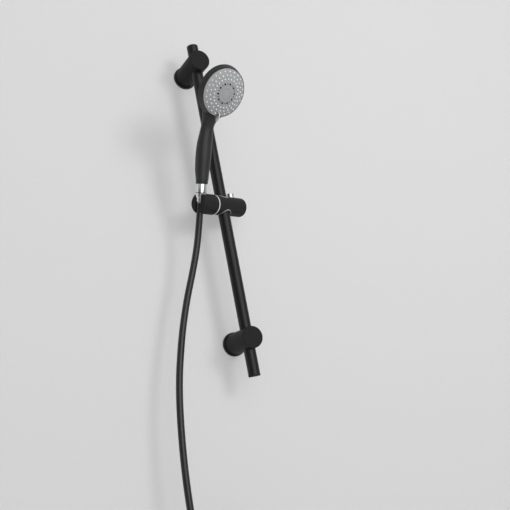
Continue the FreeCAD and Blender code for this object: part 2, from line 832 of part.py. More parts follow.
def coil_tie():
    """A strap round all the strands at the coil's left side."""
    half_x = hose_radius + tie_gap
    half_y = coil_depth() / 2 + hose_radius + tie_gap
    wall = tie_thickness
    inside = [(x * half_x, y * half_y, tie_corner) for x, y in ((-1, -1), (1, -1), (1, 1), (-1, 1))]
    outside = [(x + math.copysign(wall, x), y + math.copysign(wall, y), r + wall) for x, y, r in inside]
    height = V(0, tie_height, 0)
    band = Part.Face(outline(outside)).extrude(height).cut(Part.Face(outline(inside)).extrude(height))
    end = V(*hose_points[-1])
    place = FreeCAD.Placement(end + V(0, -coil_depth() / 2, tie_lift), FreeCAD.Rotation(X_AXIS, 90))
    return moved(band, place)


def hose_end_frame():
    """The tail's end, with Z pointing down out of the end nut."""
    end = V(*hose_points[-1])
    return FreeCAD.Placement(end - V(0, coil_depth(), tail_length), FreeCAD.Rotation(X_AXIS, 180))


def hose_end_ferrule():
    """The pressed sleeve on the hose's end, with a flange inside the end nut."""
    bore = nipple_bore / 2
    radius = ferrule_diameter / 2
    flange = thread_radius + thread_relief - fit_clearance
    shoulder = ferrule_length + end_nut_wall
    end = shoulder + nipple_flange
    corners = [(bore, 0), (radius, 0, nut_edge), (radius, ferrule_length, nut_edge)]
    corners += [(hose_radius, ferrule_length), (hose_radius, shoulder), (flange, shoulder), (flange, end)]
    corners.append((bore, end))
    return moved(turned(corners), hose_end_frame())


def hose_end_nut():
    """A six-sided nut for the water outlet's thread."""
    start = ferrule_length
    end = start + end_nut_length
    corner = end_nut_flats / math.sqrt(3)
    bar = hexagon_bar(end_nut_flats, start, end)
    rounded = [(0, start), (corner, start, end_nut_edge), (corner, end, end_nut_edge), (0, end)]
    bar = bar.common(turned(rounded))
    bar = bar.cut(rod(hose_radius + fit_clearance, start, end))
    shoulder = start + end_nut_wall
    relief_end = shoulder + nipple_flange + end_washer_thickness
    bar = bar.cut(rod(thread_radius + thread_relief, shoulder, relief_end))
    return moved(bar.cut(rod(thread_radius, shoulder, end)), hose_end_frame())


def hose_end_washer():
    start = ferrule_length + end_nut_wall + nipple_flange
    outer = thread_radius + thread_relief - fit_clearance
    washer = tube(outer, nipple_bore / 2, start, start + end_washer_thickness)
    return moved(washer, hose_end_frame())


front_shell, back_shell = handset_shells()

pieces = {
    "rail_tube": rail_tube(),
    "rail_top_cap": rail_top_cap(),
    "rail_bottom_cap": rail_bottom_cap(),
    "lower_bracket": moved(bracket(), bracket_frame(0)),
    "upper_bracket": moved(bracket(), bracket_frame(bracket_spacing)),
    "lower_wall_plate": moved(wall_plate(), bracket_frame(0)),
    "upper_wall_plate": moved(wall_plate(), bracket_frame(bracket_spacing)),
    "bracket_grub_screws": bracket_grub_screws(),
    "rail_set_screws": rail_set_screws(),
    "brake_collar": brake_collar(),
    "upper_guide_bush": guide_bush(1),
    "lower_guide_bush": guide_bush(-1),
    "slider_body": slider_body(),
    "slider_end_cap": slider_end_cap(),
    "brake_shoe": brake_shoe(),
    "brake_spring": brake_spring(),
    "lock_button": lock_button(),
    "pivot_screw": pivot_screw(),
    "pivot_washer": pivot_washer(),
    "holder": holder(),
    "hose_cone_nut": hose_cone_nut(),
    "hose_nipple": hose_nipple(),
    "nut_washer": nut_washer(),
    "inlet_thread": inlet_thread(),
    "handset_front_shell": front_shell,
    "handset_back_shell": back_shell,
    "diverter_disc": diverter_disc(),
    "spray_spindle": spray_spindle(),
    "face_plate": face_plate(),
    "centre_disc": centre_disc(),
    "nozzles": nozzles(),
    "selector_tab": selector_tab(),
    "hose_tube": hose_tube(),
    "hose_coil": hose_coil(),
    "hose_tail": hose_tail(),
    "coil_tie": coil_tie(),
    "hose_end_ferrule": hose_end_ferrule(),
    "hose_end_nut": hose_end_nut(),
    "hose_end_washer": hose_end_washer(),
}

os.makedirs("parts", exist_ok=True)
for name, shape in pieces.items():
    shape.exportStep("parts/" + name + ".step")
    print(name, len(shape.Solids), "solids", round(shape.Volume / 1000, 2), "cm3", "valid", shape.isValid())
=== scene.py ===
# %% [markdown]
# # A black shower rail on a pale wall
# The imported solids come in as a fixed frame in metres: the wall is the plane y = 0, the rail stands
# towards -Y, and +Z is up. Every piece made below but the hose rides on one of the frame's bodies, so
# the slider, the holder and the spray face still move.

# %% Load the solids
import json
import math

import bpy
from mathutils import Matrix, Vector
from mathutils.bvhtree import BVHTree


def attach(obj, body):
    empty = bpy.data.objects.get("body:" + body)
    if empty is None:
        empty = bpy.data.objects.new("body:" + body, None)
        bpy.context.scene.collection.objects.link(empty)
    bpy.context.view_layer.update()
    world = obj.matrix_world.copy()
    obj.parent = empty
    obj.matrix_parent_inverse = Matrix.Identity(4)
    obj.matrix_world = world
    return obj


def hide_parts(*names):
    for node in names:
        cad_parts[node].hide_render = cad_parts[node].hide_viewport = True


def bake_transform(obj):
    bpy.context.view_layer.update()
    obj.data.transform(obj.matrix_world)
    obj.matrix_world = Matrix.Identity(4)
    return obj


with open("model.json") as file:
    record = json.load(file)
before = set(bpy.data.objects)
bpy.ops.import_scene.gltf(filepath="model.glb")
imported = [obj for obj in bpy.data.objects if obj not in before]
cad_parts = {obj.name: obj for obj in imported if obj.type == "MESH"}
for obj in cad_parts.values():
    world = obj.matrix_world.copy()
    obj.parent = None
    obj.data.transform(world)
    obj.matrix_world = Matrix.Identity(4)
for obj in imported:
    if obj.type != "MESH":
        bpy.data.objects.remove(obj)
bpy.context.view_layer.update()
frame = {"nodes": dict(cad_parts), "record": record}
nodes = frame["nodes"]
scene = bpy.context.scene

# %% [markdown]
# ## The camera
# The photo looks up at the rail from below and from its left, and the camera is rolled, so the rail
# leans. A camera in Blender looks along its own -Z with +Y up in the picture. A constraint could aim
# it, but the roll would still have to be set, so its matrix is written here from three directions:
# right, down and forward in the picture.

# %% Camera
MM = 0.001
PICTURE_RIGHT = Vector((0.8845219, -0.4269430, -0.1879911))
PICTURE_DOWN = Vector((-0.0779369, 0.2620746, -0.9618954))
PICTURE_FORWARD = Vector((0.4599422, 0.8654690, 0.1985361))
CAMERA_PLACE = Vector((-752.6, -1589.1, -172.9)) * MM
CAMERA_LENS_MM = 58.01
CAMERA_SENSOR_MM = 36.0

camera_data = bpy.data.cameras.new("photo_camera")
camera_data.sensor_width = CAMERA_SENSOR_MM
camera_data.lens = CAMERA_LENS_MM
camera = bpy.data.objects.new("photo_camera", camera_data)
scene.collection.objects.link(camera)
turn = Matrix((PICTURE_RIGHT, -PICTURE_DOWN, -PICTURE_FORWARD)).transposed().to_4x4()
camera.matrix_world = Matrix.Translation(CAMERA_PLACE) @ turn
scene.camera = camera
print("camera at", [round(x, 3) for x in CAMERA_PLACE])

# %% [markdown]
# ## Frames of the tilted pieces
# The slider is turned about the rail, the holder is tilted about the slider, and the hand shower hangs
# in the holder a little twisted. Each frame is the one before it times one more turn, as in the solids,
# so a piece is drawn upright and then placed by one product.

# %% Frames
RAIL_AXIS = Vector((0.0, -70.0, 289.0)) * MM
CUP_DISTANCE = 67.0 * MM
FACE_MIDDLE = Vector((0.0, -55.5, 223.6)) * MM
SLIDER_TURN = 23.0
HOLDER_TILT = 18.8
HANDSET_TURN = -7.7
HEAD_TILT = 21.4
QUARTER_TURN = 90.0


def turned(degrees, axis):
    """A turn about one of the frame's own axes."""
    return Matrix.Rotation(math.radians(degrees), 4, axis)


slider_frame = Matrix.Translation(RAIL_AXIS) @ turned(SLIDER_TURN, "Z")
holder_frame = slider_frame @ Matrix.Translation((-CUP_DISTANCE, 0.0, 0.0)) @ turned(HOLDER_TILT, "X")
handset_frame = holder_frame @ turned(HANDSET_TURN, "Z")
head_frame = handset_frame @ Matrix.Translation(FACE_MIDDLE) @ turned(QUARTER_TURN + HEAD_TILT, "X")
print("hose leaves the nut at", [round(x, 4) for x in handset_frame.translation])

# %% [markdown]
# ## The hose
# A shower hose is a smooth plastic tube of 14 mm, about 1.75 m long with its ends. It leaves the nut
# in the nut's own line, hangs down to the left and out of the picture, and the rest is put away in
# two tied turns. A Bezier curve would need handles at each point, so one NURBS spline carries all of it:
# the hanging points come first, then the turns by a loop, then the straight tail. The curve is made into
# a mesh.

# %% Hose line
HOSE_RADIUS = 7.0 * MM
HOSE_STRAIGHT = 44.0 * MM
HANGING_POINTS_MM = [
    (-78.5, -75.5, 198.8), (-95.5, -71.0, 150.2), (-114.9, -69.0, 102.2), (-131.7, -68.5, 54.6),
    (-146.4, -69.5, 7.4), (-164.3, -71.5, -62.1), (-175.3, -73.5, -130.7), (-182.5, -75.0, -198.4),
    (-186.8, -76.0, -264.8), (-187.9, -76.5, -340.0), (-188.0, -77.0, -414.0),
]
COIL_RADIUS = 77.0 * MM
COIL_TURNS = 2
COIL_STEPS = 16
COIL_PITCH = 14.0 * MM
TAIL_LENGTH = 50.0 * MM

hose_exit = handset_frame.translation.copy()
route = [hose_exit, handset_frame @ Vector((0.0, 0.0, -HOSE_STRAIGHT))]
route += [Vector(point) * MM for point in HANGING_POINTS_MM]
coil_start = route[-1].copy()
coil_middle = coil_start + Vector((COIL_RADIUS, 0.0, 0.0))
# A spline of order 3 passes a point at six eighths of it and one eighth of each neighbour. That is
# inside the round, so the points lie a little outside the turns.
point_radius = COIL_RADIUS * 8 / (6 + 2 * math.cos(2 * math.pi / COIL_STEPS))
for step in range(1, COIL_TURNS * COIL_STEPS):
    angle = math.pi + 2 * math.pi * step / COIL_STEPS
    depth = COIL_PITCH * step / COIL_STEPS
    offset = Vector((point_radius * math.cos(angle), -depth, point_radius * math.sin(angle)))
    route.append(coil_middle + offset)
tail_top = coil_start - Vector((0.0, COIL_TURNS * COIL_PITCH, 0.0))
route += [tail_top, tail_top - Vector((0.0, 0.0, TAIL_LENGTH))]
print("hose points", len(route))

# %% Spline tools
SPLINE_ORDER = 3
STEPS_PER_POINT = 8
BEVEL_STEPS = 6


def spline_object(name, points, radius):
    """A NURBS curve along control points, round if it has a radius."""
    curve = bpy.data.curves.new(name, "CURVE")
    curve.dimensions = "3D"
    curve.resolution_u = STEPS_PER_POINT
    curve.bevel_depth = radius
    curve.bevel_resolution = BEVEL_STEPS
    curve.use_fill_caps = True
    spline = curve.splines.new("NURBS")
    spline.points.add(len(points) - 1)
    for target, point in zip(spline.points, points):
        target.co = (*point, 1.0)
    spline.order_u = SPLINE_ORDER
    spline.use_endpoint_u = True
    curve_object = bpy.data.objects.new(name, curve)
    scene.collection.objects.link(curve_object)
    return curve_object


def mesh_from_curve(name, curve_object):
    """The curve's own shape as a mesh, after which the curve is removed."""
    graph = bpy.context.evaluated_depsgraph_get()
    mesh = bpy.data.meshes.new_from_object(curve_object.evaluated_get(graph))
    mesh.name = name
    curve = curve_object.data
    bpy.data.objects.remove(curve_object)
    bpy.data.curves.remove(curve)
    return mesh


print("a round spline has", 2 * (BEVEL_STEPS + 2), "sides")

# %% Hose mesh
line_mesh = mesh_from_curve("hose_line", spline_object("hose_line", route, 0.0))
hose_path = [vertex.co.copy() for vertex in line_mesh.vertices]
drawn_length = sum((b - a).length for a, b in zip(hose_path, hose_path[1:]))
hose_mesh = mesh_from_curve("shower_hose", spline_object("shower_hose_curve", route, HOSE_RADIUS))
for polygon in hose_mesh.polygons:
    polygon.use_smooth = True
hose = bpy.data.objects.new("shower_hose", hose_mesh)
scene.collection.objects.link(hose)
print("hose length", round(drawn_length, 3), "faces", len(hose_mesh.polygons))

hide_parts("hose_tube", "hose_coil", "hose_tail")
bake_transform(hose)

# %% [markdown]
# ## The crowned spray face
# The face of the hand shower is a shallow dome, part of a ball. What stands on it has to follow the
# dome and point outwards. A modifier could project flat pieces onto it, but the ball's formula gives
# each height exactly, so the small pieces are worked out from that.

# %% Crowned face
FACE_RADIUS = 49.4 * MM
FACE_CROWN = 9.5 * MM
CROWN_BALL = (FACE_RADIUS ** 2 + FACE_CROWN ** 2) / (2 * FACE_CROWN)


def crown_height(radius):
    """The height of the crowned spray face at a distance from its middle."""
    return math.sqrt(CROWN_BALL ** 2 - radius ** 2) - CROWN_BALL + FACE_CROWN


def around(radius, angle, height=0.0):
    """A place on a circle round the Z axis."""
    return Vector((radius * math.cos(angle), radius * math.sin(angle), height))


print("the face is part of a ball of radius", round(CROWN_BALL / MM, 1), "mm")

# %% [markdown]
# ## Jets, nubs and nozzle lips
# The solids leave the finest mouldings out: the soft inserts of the jets, small nubs on the centre disc
# and the rounded lips of the nozzles. Each kind is one profile turned round its own middle, many times
# over. Copies of an object would do too, but one mesh for each kind keeps the list of pieces short.

# %% Turned inserts
INSERT_STEPS = 16


def mesh_piece(name, points, faces, body, sharp_angle=None):
    """A smooth mesh that rides on a body. Edges steeper than the sharp angle stay sharp."""
    mesh = bpy.data.meshes.new(name)
    mesh.from_pydata(points, [], faces)
    mesh.shade_smooth()
    if sharp_angle is not None:
        mesh.set_sharp_from_angle(angle=sharp_angle)
    piece = bpy.data.objects.new(name, mesh)
    scene.collection.objects.link(piece)
    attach(piece, body)
    return piece


def turned_inserts(name, profile, places, body):
    """One mesh of inserts, square to the crowned face. A place is (distance, angle, radius, lift)."""
    points = []
    faces = []
    for distance, angle, radius, lift in places:
        foot = around(distance, angle, crown_height(distance))
        outward = (foot - Vector((0.0, 0.0, FACE_CROWN - CROWN_BALL))).normalized()
        upright = outward.to_track_quat("Z", "Y").to_matrix().to_4x4()
        stand = head_frame @ Matrix.Translation(foot + outward * lift) @ upright
        first = len(points)
        for across, up in profile:
            for step in range(INSERT_STEPS):
                spoke = around(1.0, 2 * math.pi * step / INSERT_STEPS) * across
                points.append(stand @ ((spoke + Vector((0.0, 0.0, up))) * radius))
        for ring in range(len(profile) - 1):
            for step in range(INSERT_STEPS):
                a = first + ring * INSERT_STEPS + step
                b = first + ring * INSERT_STEPS + (step + 1) % INSERT_STEPS
                faces.append((a, b, b + INSERT_STEPS, a + INSERT_STEPS))
    return mesh_piece(name, points, faces, body)


print("an insert has", INSERT_STEPS, "sides")

# %% Jets and nubs
JET_CIRCLE = 20.0 * MM
JET_COUNT = 10
# Turns are in steps from one jet to the next. A small mist jet stands half a step after each jet.
JET_TURN = 0.25
MIST_TURN = JET_TURN + 0.5
JET_RADIUS = 2.1 * MM
MIST_RADIUS = 1.2 * MM
RING_LIFT = 0.12 * MM
NUB_CIRCLE = 10.5 * MM
NUB_COUNT = 12
NUB_RADIUS = 0.8 * MM
CENTRE_RISE = 0.2 * MM
# A shallow dish, as shares of the radius: across, then up from the face.
INSERT_PROFILE = [
    (0.0, 0.04), (0.5, 0.05), (0.62, 0.12), (0.8, 0.15), (0.95, 0.1), (1.0, 0.0), (0.98, -0.1),
]

step_angle = 2 * math.pi / JET_COUNT
jet_places = []
for first_turn, radius in ((JET_TURN, JET_RADIUS), (MIST_TURN, MIST_RADIUS)):
    for i in range(JET_COUNT):
        jet_places.append((JET_CIRCLE, (i + first_turn) * step_angle, radius, RING_LIFT))
nub_angles = [2 * math.pi * i / NUB_COUNT for i in range(NUB_COUNT)]
nub_places = [(NUB_CIRCLE, angle, NUB_RADIUS, CENTRE_RISE) for angle in nub_angles]
jet_inserts = turned_inserts("jet_inserts", INSERT_PROFILE, jet_places, "spray_face")
centre_nubs = turned_inserts("centre_nubs", INSERT_PROFILE, nub_places, "spray_face")
print("inserts", len(jet_places), "nubs", len(nub_places))

# %% Nozzle lips
NOZZLE_RINGS = [29.1 * MM, 36.6 * MM, 44.1 * MM]
NOZZLE_TURN = -0.4
NOZZLES_PER_RING = 24
NOZZLE_HEIGHT = 1.35 * MM
LIP_RADIUS = 1.55 * MM
# A rounded ring, as shares of the radius: across, then up from the nozzle's end.
LIP_PROFILE = [(0.3, -0.3), (0.36, 0.16), (0.6, 0.3), (0.85, 0.2), (1.0, -0.1), (0.95, -0.6)]

lip_places = []
for ring, distance in enumerate(NOZZLE_RINGS):
    for i in range(NOZZLES_PER_RING):
        turn_share = i + NOZZLE_TURN + ring / len(NOZZLE_RINGS)
        angle = 2 * math.pi * turn_share / NOZZLES_PER_RING
        lip_places.append((distance, angle, LIP_RADIUS, NOZZLE_HEIGHT))
nozzle_lips = turned_inserts("nozzle_lips", LIP_PROFILE, lip_places, "spray_face")
print("lips", len(lip_places))

# %% [markdown]
# ## The jet ring
# The jets sit on a thin, wide ring, a hair proud of the face. A torus from the menu would be round in
# section, so a closed outline is turned about the face's axis instead: its underside lies in the face,
# and its top follows the dome.

# %% Jet ring
TURN_STEPS = 64
SHARP_ANGLE = math.radians(30.0)
RING_SINK = 0.3 * MM
RING_INSIDE = 17.05 * MM
RING_OUTSIDE = 22.9 * MM
RING_TOP_MM = [22.6, 21.3, 20.0, 18.5, 17.15]


def turned_piece(name, profile, base, body):
    """A piece turned about the base frame's Z axis, from a closed outline of (radius, height)."""
    points = []
    for radius, height in profile:
        for step in range(TURN_STEPS):
            points.append(base @ around(radius, 2 * math.pi * step / TURN_STEPS, height))
    faces = []
    for ring in range(len(profile)):
        here = ring * TURN_STEPS
        there = (ring + 1) % len(profile) * TURN_STEPS
        for step in range(TURN_STEPS):
            after = (step + 1) % TURN_STEPS
            faces.append((here + step, here + after, there + after, there + step))
    piece = mesh_piece(name, points, faces, body, SHARP_ANGLE)
    return piece


ring_profile = [(radius, crown_height(radius) - RING_SINK) for radius in (RING_INSIDE, RING_OUTSIDE)]
ring_profile += [(radius * MM, crown_height(radius * MM) + RING_LIFT) for radius in RING_TOP_MM]
jet_ring = turned_piece("jet_ring", ring_profile, head_frame, "spray_face")
print("jet ring faces", len(jet_ring.data.polygons))

# %% [markdown]
# ## The seam and the foot ring
# Two moulded shells make the hand shower. A thin raised line shows where they meet, up both sides of the
# handle and round the head, and a thin ring goes round the handle's foot. They could be cut into the
# shells, but the solids stay as they are, so both are round beads along a spline. Its points are found by
# rays shot at the shells from outside, so the beads lie on the shells.

# %% Rays at the shells
RAY_START = 100.0 * MM

shell_points = []
shell_faces = []
for shell in (nodes["handset_front_shell"], nodes["handset_back_shell"]):
    first = len(shell_points)
    shell_points += [shell.matrix_world @ vertex.co for vertex in shell.data.vertices]
    shell_faces += [[first + i for i in polygon.vertices] for polygon in shell.data.polygons]
shells = BVHTree.FromPolygons(shell_points, shell_faces)


def on_shells(base, place, towards):
    """Where a ray from outside, aimed at a place of the base frame, meets the shells."""
    away = (base.to_3x3() @ towards).normalized()
    hit = shells.ray_cast(base @ place + away * RAY_START, -away)[0]
    return hit if hit else base @ place


print("shell faces", len(shell_faces))

# %% Seam
BEAD_RADIUS = 0.4 * MM
# The seam's line up the handle's side, as height and forward shift in the hand shower's frame.
SEAM_SIDE_MM = [
    (41.5, 0.0), (60.0, 0.0), (80.0, 0.0), (100.0, 0.0), (112.0, 0.6), (126.0, 3.0), (142.0, 5.1),
    (159.0, 8.6), (170.0, 14.0), (176.0, 24.0), (184.0, 27.3),
]
HEAD_WAIST = 11.8 * MM
SEAM_ARC = (-42.0, 222.0)
SEAM_ARC_STEPS = 48
SIDE = Vector((1.0, 0.0, 0.0))


def bead(name, points, radius, body, closed=False):
    """A thin raised line along the points, riding on a body."""
    line = spline_object(name + "_curve", points, radius)
    line.data.splines[0].use_cyclic_u = closed
    piece = bpy.data.objects.new(name, mesh_from_curve(name, line))
    scene.collection.objects.link(piece)
    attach(piece, body)
    return piece


side_places = [Vector((0.0, -shift, height)) * MM for height, shift in SEAM_SIDE_MM]
right_side = [on_shells(handset_frame, place, SIDE) for place in side_places]
left_side = [on_shells(handset_frame, place, -SIDE) for place in side_places]
waist = Vector((0.0, 0.0, -HEAD_WAIST))
seam_arc = []
for step in range(SEAM_ARC_STEPS + 1):
    angle = math.radians(SEAM_ARC[0] + (SEAM_ARC[1] - SEAM_ARC[0]) * step / SEAM_ARC_STEPS)
    seam_arc.append(on_shells(head_frame, waist, around(1.0, angle)))
seam_points = right_side + seam_arc + left_side[::-1]
# The bead's grey finish is painted highlight: the light that the seam's raised edge catches.
seam_bead = bead("seam_bead", seam_points, BEAD_RADIUS, "holder")
print("seam points", len(seam_points))

# %% Foot ring
FOOT_RING_HEIGHT = 52.7 * MM
CIRCLE_POINTS = 24

circle_angles = [2 * math.pi * step / CIRCLE_POINTS for step in range(CIRCLE_POINTS)]
foot_middle = Vector((0.0, 0.0, FOOT_RING_HEIGHT))
foot_points = [on_shells(handset_frame, foot_middle, around(1.0, angle)) for angle in circle_angles]
foot_ring = bead("foot_ring", foot_points, BEAD_RADIUS, "holder", closed=True)
print("foot ring points", len(foot_points))

# %% [markdown]
# ## The cone nut
# The hose hangs by a chrome nut whose taper sits in the holder. The real one ends in a narrower neck,
# which shows in the holder's slot. A black rubber ring laid in its groove is painted shade, which makes
# the groove a dark line. The nut could be carved from the solid with booleans, but one profile turned
# about the hand shower's axis is how such a nut is machined, and it keeps the edges clean.

# %% Cone nut
HOSE_BORE_MM = 7.15
NECK_RADIUS_MM = 8.2
NECK_FOOT_MM = 3.4
NECK_TOP_MM = 10.4
NECK_EDGE_MM = 0.4
NUT_RADIUS_MM = 10.95
# The taper starts with a rounded foot, as radius and height.
TAPER_FOOT_MM = [(9.2, 10.6), (9.75, 11.2)]
TAPER_TOP_MM = 20.0
NUT_TOP_MM = 40.2
TOP_EDGE_MM = 0.8
# A round edge leaves this share of its radius at its middle.
EDGE_MIDDLE = 0.3
HANDLE_BORE_MM = 8.0
GROOVE_WIDTH_MM = 1.0
GROOVE_DEPTH_MM = 0.9
GROOVE_FOOT_MM = TAPER_TOP_MM + GROOVE_WIDTH_MM
GROOVE_TOP_MM = GROOVE_FOOT_MM + GROOVE_WIDTH_MM
GROOVE_RADIUS_MM = NUT_RADIUS_MM - GROOVE_DEPTH_MM
# Radius and height, from the hose up to the handle: neck, taper, groove, grip with a rounded top edge.
NUT_PROFILE_MM = [
    (HOSE_BORE_MM, NECK_FOOT_MM), (NECK_RADIUS_MM - NECK_EDGE_MM, NECK_FOOT_MM),
    (NECK_RADIUS_MM, NECK_FOOT_MM + NECK_EDGE_MM), (NECK_RADIUS_MM, NECK_TOP_MM),
    *TAPER_FOOT_MM, (NUT_RADIUS_MM, TAPER_TOP_MM),
    (NUT_RADIUS_MM, GROOVE_FOOT_MM), (GROOVE_RADIUS_MM, GROOVE_FOOT_MM),
    (GROOVE_RADIUS_MM, GROOVE_TOP_MM), (NUT_RADIUS_MM, GROOVE_TOP_MM),
    (NUT_RADIUS_MM, NUT_TOP_MM - TOP_EDGE_MM),
    (NUT_RADIUS_MM - TOP_EDGE_MM * EDGE_MIDDLE, NUT_TOP_MM - TOP_EDGE_MM * EDGE_MIDDLE),
    (NUT_RADIUS_MM - TOP_EDGE_MM, NUT_TOP_MM), (HANDLE_BORE_MM, NUT_TOP_MM),
]

nut_profile = [(radius * MM, height * MM) for radius, height in NUT_PROFILE_MM]
cone_nut = turned_piece("cone_nut", nut_profile, handset_frame, "holder")
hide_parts("hose_cone_nut")
print("nut faces", len(cone_nut.data.polygons))

# %% Groove ring
# The black rubber ring in the groove is painted shade: it darkens the groove into a dark line.
GROOVE_SHADE_RING_RADIUS = 0.8 * MM

reach = (NUT_RADIUS_MM - GROOVE_DEPTH_MM / 2) * MM
groove_middle = (GROOVE_FOOT_MM + GROOVE_TOP_MM) / 2 * MM
groove_shade_points = [handset_frame @ around(reach, angle, groove_middle) for angle in circle_angles]
groove_shade_ring = bead("groove_shade_ring", groove_shade_points, GROOVE_SHADE_RING_RADIUS, "holder", closed=True)
print("groove ring points", len(groove_shade_points))

# %% [markdown]
# ## The selector fin
# The spray face is turned by a thin fin at its foot, whose ridge rises in one arc and stands out past
# the rim. A bevelled box could stand in for it, but its foot has to follow the dome. So it is swept from
# its inner end to the tip: each cross section has two feet and a rounded top between them. A pale bead
# along the ridge is a painted highlight: its colour stands in for the bright line of light on the ridge.

# %% Fin ridge
FIN_TURN = -2.9
RIDGE_MIDDLE = (51.2 * MM, 0.6 * MM)
RIDGE_RADIUS = 11.8 * MM
RIDGE_ARC = (163.0, 52.0)
RIDGE_STEPS = 24

fin_frame = head_frame @ turned(FIN_TURN, "Z")
ridge = []
for step in range(RIDGE_STEPS + 1):
    angle = math.radians(RIDGE_ARC[0] + (RIDGE_ARC[1] - RIDGE_ARC[0]) * step / RIDGE_STEPS)
    distance = RIDGE_MIDDLE[0] + RIDGE_RADIUS * math.cos(angle)
    ridge.append((distance, RIDGE_MIDDLE[1] + RIDGE_RADIUS * math.sin(angle)))
ridge_start = ridge[0][0]
ridge_end = ridge[-1][0]
print("fin stands out past the rim by", round((ridge_end - FACE_RADIUS) / MM, 1), "mm")

# %% Selector fin
FIN_SINK = 0.2 * MM
FIN_OVER_RIM = 0.6 * MM
FIN_TIP_LIFT = 5.0 * MM
FOOT_HALF_WIDTHS = (1.0 * MM, 1.6 * MM)
RIDGE_HALF_WIDTH = 0.9 * MM
FIN_SHARP_ANGLE = math.radians(40.0)
# A cross section as shares: across of the half width there, up from foot to ridge.
FIN_SECTION = [
    (-1.0, 0.0), (-1.0, 0.45), (-1.0, 0.85), (-0.6, 0.96), (0.0, 1.0), (0.6, 0.96), (1.0, 0.85),
    (1.0, 0.45), (1.0, 0.0),
]

fin_points = []
for distance, top in ridge:
    share = (distance - ridge_start) / (ridge_end - ridge_start)
    past_rim = (distance - FACE_RADIUS) / (ridge_end - FACE_RADIUS)
    on_face = crown_height(min(distance, FACE_RADIUS)) - FIN_SINK
    foot = on_face if past_rim < 0 else FIN_OVER_RIM + FIN_TIP_LIFT * past_rim
    foot_width = FOOT_HALF_WIDTHS[0] + (FOOT_HALF_WIDTHS[1] - FOOT_HALF_WIDTHS[0]) * share
    for across, up in FIN_SECTION:
        width = foot_width + (RIDGE_HALF_WIDTH - foot_width) * up
        fin_points.append(fin_frame @ Vector((across * width, -distance, foot + (top - foot) * up)))
count = len(FIN_SECTION)
fin_faces = [tuple(range(count)), tuple(reversed(range(len(fin_points) - count, len(fin_points))))]
for station in range(RIDGE_STEPS):
    for i in range(count):
        a = station * count + i
        b = station * count + (i + 1) % count
        fin_faces.append((a, a + count, b + count, b))
fin = mesh_piece("selector_fin", fin_points, fin_faces, "spray_face", FIN_SHARP_ANGLE)
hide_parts("selector_tab")
print("fin points", len(fin_points))

# %% Fin crest
# The crest bead is a painted highlight: its pale colour stands in for the bright line of light along the
# ridge.
CREST_HIGHLIGHT_RADIUS = 0.8 * MM
CREST_HIGHLIGHT_STRIDE = 3

crest_highlight_points = []
for distance, top in ridge[::CREST_HIGHLIGHT_STRIDE]:
    crest_highlight_points.append(fin_frame @ Vector((0.0, -distance, top - CREST_HIGHLIGHT_RADIUS / 2)))
fin_crest_highlight = bead("fin_crest_highlight", crest_highlight_points, CREST_HIGHLIGHT_RADIUS, "spray_face")
print("crest points", len(crest_highlight_points))

# %% [markdown]
# ## Materials
# Colours are written as sRGB hex values, as a colour picker gives them, and one function makes them
# linear. One small function adds a shader node with its settings and links. No moulding or coat is
# quite even, so noise gives each surface its patches and its grain, with a scale in millimetres. Painted
# images could do this too, but noise needs no unwrapping and fits every piece.

# %% Material tools
# A Mix node has sockets of the same name for each kind of value, so its colours go by number.
MIX_FROM = 6
MIX_TO = 7
MIX_RESULT = 2


def linear(hex_colour):
    """An sRGB hex colour as linear red, green, blue and alpha."""
    channels = [int(hex_colour[i:i + 2], 16) / 255 for i in (1, 3, 5)]
    return [c / 12.92 if c <= 0.04045 else ((c + 0.055) / 1.055) ** 2.4 for c in channels] + [1.0]


def add_node(tree, kind, inputs=None, **settings):
    """A shader node with its settings. An input is a value, or another node's output to link."""
    node = tree.nodes.new(kind)
    for name, value in settings.items():
        setattr(node, name, value)
    for socket, value in (inputs or {}).items():
        if isinstance(value, bpy.types.NodeSocket):
            tree.links.new(value, node.inputs[socket])
        else:
            node.inputs[socket].default_value = value
    return node


def per_metre(size_mm):
    """The texture scale whose features are about this many millimetres apart."""
    return 1000.0 / size_mm


print("mid grey is", round(linear("#808080")[0], 3), "in linear light")

# %% Surfaces
# The grain of a moulding or a coat is about a tenth of a millimetre wide, too fine to show in the
# render. It is drawn 1 to 2 mm wide, coarser than it is, so that it breaks up the lights a little.
PATCH_MM = 30.0
PATCH_DETAIL = 3.0
GRAIN_DETAIL = 2.0
GRAIN_DEPTH = 0.2 * MM
GLOSS_DRIFT = 0.05


def make_material(name, dark, pale, rough, grain_mm, bump, **shader):
    """A surface whose colour and gloss drift in soft patches, with a fine grain as relief."""
    material = bpy.data.materials.new(name)
    material.use_nodes = True
    tree = material.node_tree
    tree.nodes.clear()
    place = add_node(tree, "ShaderNodeTexCoord").outputs["Object"]
    patches = add_node(tree, "ShaderNodeTexNoise", {
        "Vector": place, "Scale": per_metre(PATCH_MM), "Detail": PATCH_DETAIL})
    grain = add_node(tree, "ShaderNodeTexNoise", {
        "Vector": place, "Scale": per_metre(grain_mm), "Detail": GRAIN_DETAIL})
    colour = add_node(tree, "ShaderNodeMix", {
        "Factor": patches.outputs["Fac"], MIX_FROM: linear(dark), MIX_TO: linear(pale)}, data_type="RGBA")
    gloss = add_node(tree, "ShaderNodeMapRange", {
        "Value": patches.outputs["Fac"], "To Min": rough - GLOSS_DRIFT, "To Max": rough + GLOSS_DRIFT})
    relief = add_node(tree, "ShaderNodeBump", {
        "Height": grain.outputs["Fac"], "Strength": bump, "Distance": GRAIN_DEPTH})
    surface = add_node(tree, "ShaderNodeBsdfPrincipled", {
        "Base Color": colour.outputs[MIX_RESULT], "Roughness": gloss.outputs["Result"],
        "Normal": relief.outputs["Normal"], **shader})
    add_node(tree, "ShaderNodeOutputMaterial", {"Surface": surface.outputs["BSDF"]})
    return material


